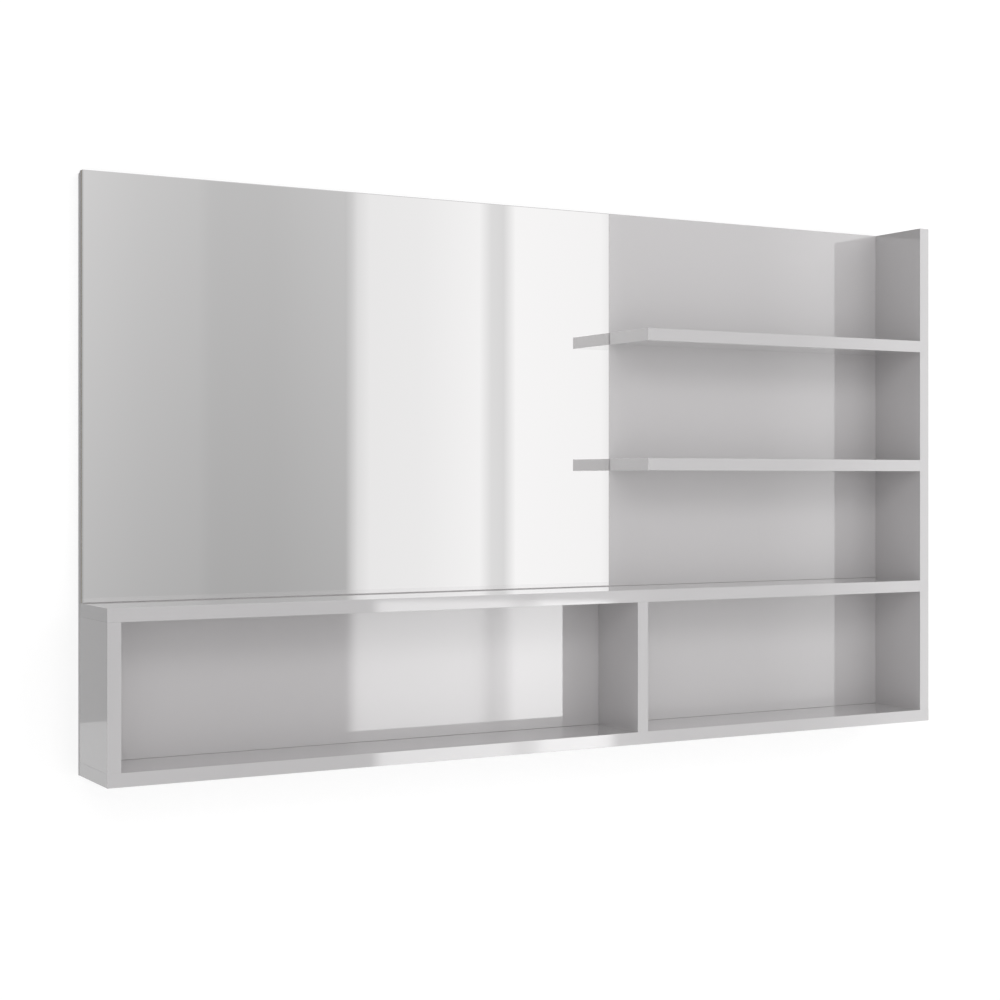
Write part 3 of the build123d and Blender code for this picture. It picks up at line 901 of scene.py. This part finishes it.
class ShelfFinish(bpy.types.PropertyGroup):
    """Colours and gloss of the boards, the edge strips, the rear panel and the mirror."""

    board_colour: colour_prop("Boards", "Lacquer of boards and shelves", (0.53, 0.516, 0.522))
    band_colour: colour_prop("Edge strips", "Colour of the edge strips", (0.5, 0.489, 0.495))
    glue_colour: colour_prop("Glue line", "Hairline beside a strip", (0.2, 0.2, 0.2))
    glue_width: length_prop("Glue line width", "How wide the hairline is", 0.00018)
    band_drifts: number_prop("Strip drift", "Tone changes per metre of strip", 5.0, min=0)
    clean: share_prop("Clean", "Roughness of clean lacquer", 0.05)
    marked: share_prop("Marked", "Roughness of wiped patches", 0.1)
    flow_height: length_prop("Flow", "Height of the lacquer's waviness", 0.00001)
    lacquer_ior: number_prop("Lacquer index", "Refractive index under the coat", 1.5, min=1)
    coat_ior: number_prop("Coat index", "Refractive index of the clear coat", 1.9, min=1)
    coat_roughness: share_prop("Coat", "Roughness of the clear coat", 0.015)
    laminate_colour: colour_prop("Laminate", "Rear panel's laminate", (0.56, 0.55, 0.555))
    laminate_grain: share_prop("Laminate grain", "Fine tone grain of the laminate", 0.05)
    pearls_per_metre: number_prop("Pearls", "Bumps per metre on the laminate", 1400.0, min=0)
    pearl_height: length_prop("Pearl height", "Height of the laminate's bumps", 0.00004)
    raw_roughness: share_prop("Raw fibre", "Roughness of cut fibre", 0.9)
    coated_edge: length_prop("Coated edge", "Width of the lacquered rim", 0.001)
    primer_colour: colour_prop("Primer", "Edges of the mirror's carrier", (0.46, 0.45, 0.45))
    fibre_height: length_prop("Fibre height", "Height of raw fibres", 0.00008)
    silver_colour: colour_prop("Silver", "Mirror's silvering", (0.945, 0.936, 0.936))
    glass_edge_light: colour_prop("Glass edge, front", "Cut glass", (0.56, 0.6, 0.58))
    glass_edge_dark: colour_prop("Glass edge, rear", "Cut glass", (0.34, 0.39, 0.37))
    mirror_clean: share_prop("Mirror clean", "Roughness of clean mirror", 0.0)
    mirror_marked: share_prop("Mirror marked", "Roughness of wiped mirror", 0.012)


class ShelfFixings(bpy.types.PropertyGroup):
    """Sizes and colours of the screws, dowels and hanger plates."""

    head_over_shank: number_prop(
        "Head over shank", "Head radius over thread radius", 2.0, min=1
    )
    head_rim: length_prop("Head rim", "Upright rim of a screw head", 0.0003)
    thread_pitch: length_prop("Thread pitch", "Advance of the thread in one turn", 0.0018)
    thread_cut: share_prop("Thread cut", "Depth of the thread over its radius", 0.32)
    rings_per_turn: count_prop("Rings per turn", "Rings of points in one turn", 5, 3)
    screw_sides: count_prop("Screw sides", "Points round a screw", 20, 8)
    tip_length_over_radius: number_prop(
        "Tip", "Length of the point over the thread radius", 2.0, min=1
    )
    recess_long: share_prop("Recess length", "Cross recess over the head radius", 1.0)
    recess_wide: share_prop("Recess width", "Cross recess over the head radius", 0.3)
    recess_deep: share_prop("Recess depth", "Cross recess over the head radius", 0.33)
    recess_taper: share_prop("Recess taper", "Recess floor over its mouth", 0.55)
    rings_per_metre: number_prop("Turning lines", "Turning lines per metre", 15000.0, min=0)
    dowel_chamfer: length_prop("Dowel chamfer", "Chamfer of a dowel's ends", 0.001)
    dowel_flutes: count_prop("Flutes", "Flutes round a dowel", 20, 4)
    dowel_sides: count_prop("Dowel sides", "Points round a dowel", 80, 16)
    flute_cut: share_prop("Flute cut", "Depth of a flute over the dowel's radius", 0.08)
    zinc_bright: colour_prop("Bright zinc", "Plating, bright", (0.66, 0.67, 0.69))
    zinc_dull: colour_prop("Dull zinc", "Plating, dull", (0.42, 0.43, 0.45))
    beech_light: colour_prop("Beech, light", "Dowel wood", (0.62, 0.43, 0.26))
    beech_dark: colour_prop("Beech, dark", "Dowel wood", (0.46, 0.29, 0.16))
    beech_fleck: colour_prop("Beech flecks", "Dowel wood", (0.28, 0.15, 0.08))


class ShelfStudio(bpy.types.PropertyGroup):
    """Camera, floor, backdrop and soft lights."""

    camera_place: bpy.props.FloatVectorProperty(
        name="Camera",
        description="Where the camera stands, from the middle of the object's rear face",
        default=(-1.2294, -2.1156, -0.0093),
        subtype="TRANSLATION",
        unit="LENGTH",
        precision=4,
    )
    camera_turn: number_prop(
        "Turn", "Camera's turn to the right", math.radians(29.369), subtype="ANGLE"
    )
    focal_length: number_prop("Focal length", "On a 36 mm sensor", 66.823, unit="CAMERA")
    rise: number_prop("Shift", "Camera's upright shift", -0.01868, precision=5)
    hanging_height: length_prop("Floor drop", "Floor below the object's underside", 1.0)
    backdrop_gap: length_prop("Backdrop gap", "Backdrop behind the rear face", 0.002)
    sheet_size: length_prop("Sheet size", "Side of the floor and the backdrop", 16.0)
    shadow_colour: colour_prop("Shadow", "Share of light that shows shadow", (0.34, 0.34, 0.34))
    floor_colour: colour_prop("Floor", "Floor as the object sees it", (0.85, 0.85, 0.85))
    floor_glow: share_prop("Floor glow", "Light that the floor adds from below", 0.25)
    sheet_glow: share_prop("Glow", "Brightness under the shadow share", 0.71)
    screen_radius: length_prop("Screen radius", "Curved screen round the object", 3.6)
    screen_top: length_prop("Screen top", "Top of the screen over the object's middle", 2.4)
    screen_fall: share_prop("Screen fall", "Change of the grey flats with height", 0.14)
    low_light: number_prop("Low light", "Brightness of the low strip of light", 2.6, min=0)
    low_light_top: number_prop(
        "Low light top", "Top of the low strip of light", -0.375, unit="LENGTH"
    )
    high_light: number_prop("High light", "Brightness of the high strip of light", 1.35, min=0)
    high_light_bottom: length_prop("High light bottom", "Where the high strip starts", 1.05)
    flagged_light: share_prop("Flagged light", "Even light from the left", 0.3)
    world_light: share_prop("Room light", "Even light from everywhere", 0.63)


# Operators

def wear(nodes, material):
    """Gives CAD nodes a material in their slot."""
    for name in nodes:
        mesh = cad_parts[name].data
        mesh.materials.clear()
        mesh.materials.append(material)


class FinishBoards(bpy.types.Operator):
    """Finishes the boards, the shelves and their edge strips, and the rear panel"""

    bl_idname = "mirror_shelf.finish_boards"
    bl_label = "Finish boards"

    def execute(self, context):
        finish = context.scene.shelf_finish
        wear(BOARDS, board_material(finish))
        wear(BACK_BOARDS, back_board_material(finish))
        for name, axis, nodes in BANDS:
            wear(nodes, band_material(finish, f"gloss_edge_{name}", axis, nodes))
        wear(("rear_panel",), rear_panel_material(finish))
        return {"FINISHED"}


class FinishMirror(bpy.types.Operator):
    """Silvers the glass and finishes its tape and carrier"""

    bl_idname = "mirror_shelf.finish_mirror"
    bl_label = "Finish mirror"

    def execute(self, context):
        finish = context.scene.shelf_finish
        wear(("mirror_glass",), mirror_material(finish))
        wear(("mirror_carrier",), carrier_material(finish))
        wear(("mirror_tape",), tape_material())
        return {"FINISHED"}


class MakeScrews(bpy.types.Operator):
    """Makes threaded screws where the model has its plain ones"""

    bl_idname = "mirror_shelf.make_screws"
    bl_label = "Make screws"

    def execute(self, context):
        fixings = context.scene.shelf_fixings
        material = screw_material(fixings)
        for seed, node in enumerate(SCREW_NODES, start=1):
            boxes = separate_solids(node)
            low, high = boxes[0]
            head, length = (high.x - low.x) / 2, high.y - low.y
            places = [Vector(((l.x + h.x) / 2, h.y, (l.z + h.z) / 2)) for l, h in boxes]
            turned_pieces(
                f"{node}_threaded",
                node,
                points_at(f"{node}_points", places, [WALLWARD] * len(places)),
                screw_blank(f"{node}_blank", head, length, fixings),
                material,
                "zinc_screw",
                starts=1.0,
                turns_per_metre=1 / fixings.thread_pitch,
                cut_share=fixings.thread_cut,
                groove_ends=0.35,
                crest_starts=0.95,
                cut_from=-(head * (1 - 1 / fixings.head_over_shank) + fixings.thread_pitch / 2),
                cut_to=-length,
                seed=seed,
            )
        return {"FINISHED"}


class MakeDowels(bpy.types.Operator):
    """Makes fluted dowels where the model has its plain ones"""

    bl_idname = "mirror_shelf.make_dowels"
    bl_label = "Make dowels"

    def execute(self, context):
        fixings = context.scene.shelf_fixings
        material = beech_material(fixings)
        for seed, node in enumerate(DOWEL_NODES, start=11):
            boxes = separate_solids(node)
            sizes = [high - low for low, high in boxes]
            places = [(low + high) / 2 for low, high in boxes]
            axes = [UP if size.z > size.x else RIGHT for size in sizes]
            length, radius = max(sizes[0]), min(sizes[0]) / 2
            turned_pieces(
                f"{node}_fluted",
                node,
                points_at(f"{node}_points", places, axes),
                dowel_blank(f"{node}_blank", radius, length, fixings),
                material,
                "dowel_beech",
                starts=float(fixings.dowel_flutes),
                turns_per_metre=0.0,
                cut_share=fixings.flute_cut,
                groove_ends=0.0,
                crest_starts=0.45,
                cut_from=length / 2 - fixings.dowel_chamfer / 2,
                cut_to=-length / 2 + fixings.dowel_chamfer / 2,
                seed=seed,
            )
        return {"FINISHED"}


class FinishHangers(bpy.types.Operator):
    """Galvanises the hanger plates"""

    bl_idname = "mirror_shelf.finish_hangers"
    bl_label = "Finish hanger plates"

    def execute(self, context):
        wear(HANGER_PLATES, plate_material(context.scene.shelf_fixings))
        return {"FINISHED"}


class SetStudio(bpy.types.Operator):
    """Sets the camera, the pale floor and backdrop and the soft lights"""

    bl_idname = "mirror_shelf.set_studio"
    bl_label = "Set studio"

    def execute(self, context):
        studio = context.scene.shelf_studio
        context.scene.view_settings.view_transform = "Standard"
        set_camera(studio)
        set_sheets(studio)
        set_screen(studio)
        set_world(studio)
        return {"FINISHED"}


CLIPPING = (0.05, 100.0)  # nearest and furthest that the camera sees


def set_camera(studio):
    """Camera at the photograph's place, level, with its frame shifted to the horizon."""
    lens = bpy.data.cameras.new("camera")
    lens.lens = studio.focal_length
    lens.shift_y = studio.rise
    lens.clip_start, lens.clip_end = CLIPPING
    camera = scene_object("camera", lens)
    camera.location = studio.camera_place
    camera.rotation_euler = (math.pi / 2, 0, -studio.camera_turn)
    bpy.context.scene.camera = camera


def stage_sheet(name, corners, material):
    """A flat stage piece with four corners, counter-clockwise as seen from its front."""
    mesh = bpy.data.meshes.new(name)
    mesh.from_pydata(corners, [], [(0, 1, 2, 3)])
    mesh.materials.append(material)
    sheet = scene_object(name, mesh)
    return sheet


def set_sheets(studio):
    """The floor below the object and the backdrop behind it."""
    half = studio.sheet_size / 2
    floor_z = cad_low.z - studio.hanging_height
    square = ((-half, -half), (half, -half), (half, half), (-half, half))
    floor_corners = [(x, y, floor_z) for x, y in square]
    floor = pale_sheet_material("pale_floor", studio, FLOOR_FADE)
    stage_sheet("floor", floor_corners, floor)
    y = studio.backdrop_gap
    wall_corners = [(-half, y, floor_z), (half, y, floor_z), (half, y, half), (-half, y, half)]
    backdrop = pale_sheet_material("pale_backdrop", studio, BACKDROP_FADE)
    wall = stage_sheet("backdrop", wall_corners, backdrop)
    for kind in ("diffuse", "glossy", "transmission", "shadow", "volume_scatter"):
        setattr(wall, f"visible_{kind}", False)


def set_screen(studio):
    """A curved screen of soft light round the front of the object, hidden from the camera."""
    floor_z = cad_low.z - studio.hanging_height
    shape = bmesh.new()
    columns = []
    for i in range(SCREEN_STEPS + 1):
        angle = math.radians(-SCREEN_SPAN + 2 * SCREEN_SPAN * i / SCREEN_STEPS)
        x = studio.screen_radius * math.sin(angle)
        y = -studio.screen_radius * math.cos(angle)
        columns.append([shape.verts.new((x, y, z)) for z in (floor_z, studio.screen_top)])
    for first, second in zip(columns, columns[1:]):
        shape.faces.new((first[0], first[1], second[1], second[0]))
    mesh = bpy.data.meshes.new("screen")
    shape.to_mesh(mesh)
    shape.free()
    mesh.materials.append(screen_material(studio))
    screen = scene_object("screen", mesh)
    screen.visible_camera = False


def set_world(studio):
    """Even room light, and plain white where the camera sees nothing."""
    world = bpy.data.worlds.new("studio")
    bpy.context.scene.world = world
    tree = empty_tree(world)
    direction = put(tree, "ShaderNodeTexCoord").outputs["Generated"]
    way = put(tree, "ShaderNodeSeparateXYZ", {0: direction}).outputs
    leftward = between(tree, way["X"], *FLAGGED_SIDE, 1.0, 0.0)
    light = blended(tree, leftward, studio.world_light, studio.flagged_light)
    camera_ray = put(tree, "ShaderNodeLightPath").outputs["Is Camera Ray"]
    strength = blended(tree, camera_ray, light, 1.0)
    background = put(tree, "ShaderNodeBackground", {"Color": (1, 1, 1, 1), "Strength": strength})
    put(tree, "ShaderNodeOutputWorld", {"Surface": background.outputs[0]})


class MirrorShelfPanel(bpy.types.Panel):
    """Lists the steps that dress the model and set its studio"""

    bl_idname = "VIEW3D_PT_mirror_shelf"
    bl_label = "Wall mirror"
    bl_space_type = "VIEW_3D"
    bl_region_type = "UI"
    bl_category = "Mirror"

    def draw(self, context):
        for step in STEPS:
            self.layout.operator(step.bl_idname)


GROUPS = {"shelf_finish": ShelfFinish, "shelf_fixings": ShelfFixings, "shelf_studio": ShelfStudio}
STEPS = (
    FinishBoards,
    FinishMirror,
    MakeScrews,
    MakeDowels,
    FinishHangers,
    SetStudio,
)


def register():
    for name, group in GROUPS.items():
        bpy.utils.register_class(group)
        setattr(bpy.types.Scene, name, bpy.props.PointerProperty(type=group))
    for step in (*STEPS, MirrorShelfPanel):
        bpy.utils.register_class(step)


def unregister():
    for step in (MirrorShelfPanel, *reversed(STEPS)):
        bpy.utils.unregister_class(step)
    for name, group in GROUPS.items():
        delattr(bpy.types.Scene, name)
        bpy.utils.unregister_class(group)


def main():
    """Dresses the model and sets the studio."""
    register()
    for step in STEPS:
        group, name = step.bl_idname.split(".")
        getattr(getattr(bpy.ops, group), name)()


if __name__ == "__main__":
    main()
